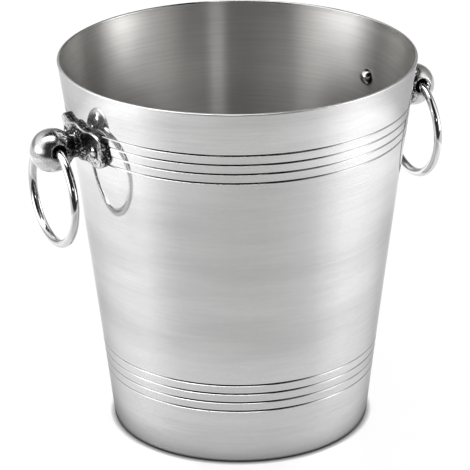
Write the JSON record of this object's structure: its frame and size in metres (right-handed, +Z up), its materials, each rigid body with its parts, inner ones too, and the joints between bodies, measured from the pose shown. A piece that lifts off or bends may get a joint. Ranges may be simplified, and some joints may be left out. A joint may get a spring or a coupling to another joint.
{
  "type": "champagne bucket",
  "caption": "Flared silver champagne bucket with bands of turned lines and a ring handle hanging from a cast knob bracket on each side.",
  "frame": {"origin": "middle of the standing ring, on the surface that the bucket stands on", "axes": "+Z up, +X towards the right bracket, -Y to the front"},
  "size_m": [0.2516, 0.2, 0.216],
  "materials": {
    "body": "satin silver, brushed round the bucket",
    "bracket": "polished cast silver",
    "ring": "polished silver wire",
    "rivet": "polished silver"
  },
  "bodies": {
    "bucket": {"bucket_body": "body", "left_knob_bracket": "bracket", "right_knob_bracket": "bracket", "left_front_rivet": "rivet", "left_back_rivet": "rivet", "right_front_rivet": "rivet", "right_back_rivet": "rivet"},
    "left_ring": {"left_ring": "ring"},
    "right_ring": {"right_ring": "ring"}
  },
  "joints": [
    {"name": "left_ring_swing", "type": "hinge", "parent": "bucket", "child": "left_ring", "pos_m": [-0.11358, 0, 0.18164], "axis": [0, 1, 0], "range_deg": [-23, 201]},
    {"name": "right_ring_swing", "type": "hinge", "parent": "bucket", "child": "right_ring", "pos_m": [0.11358, 0, 0.18164], "axis": [0, -1, 0], "range_deg": [-23, 201]}
  ]
}
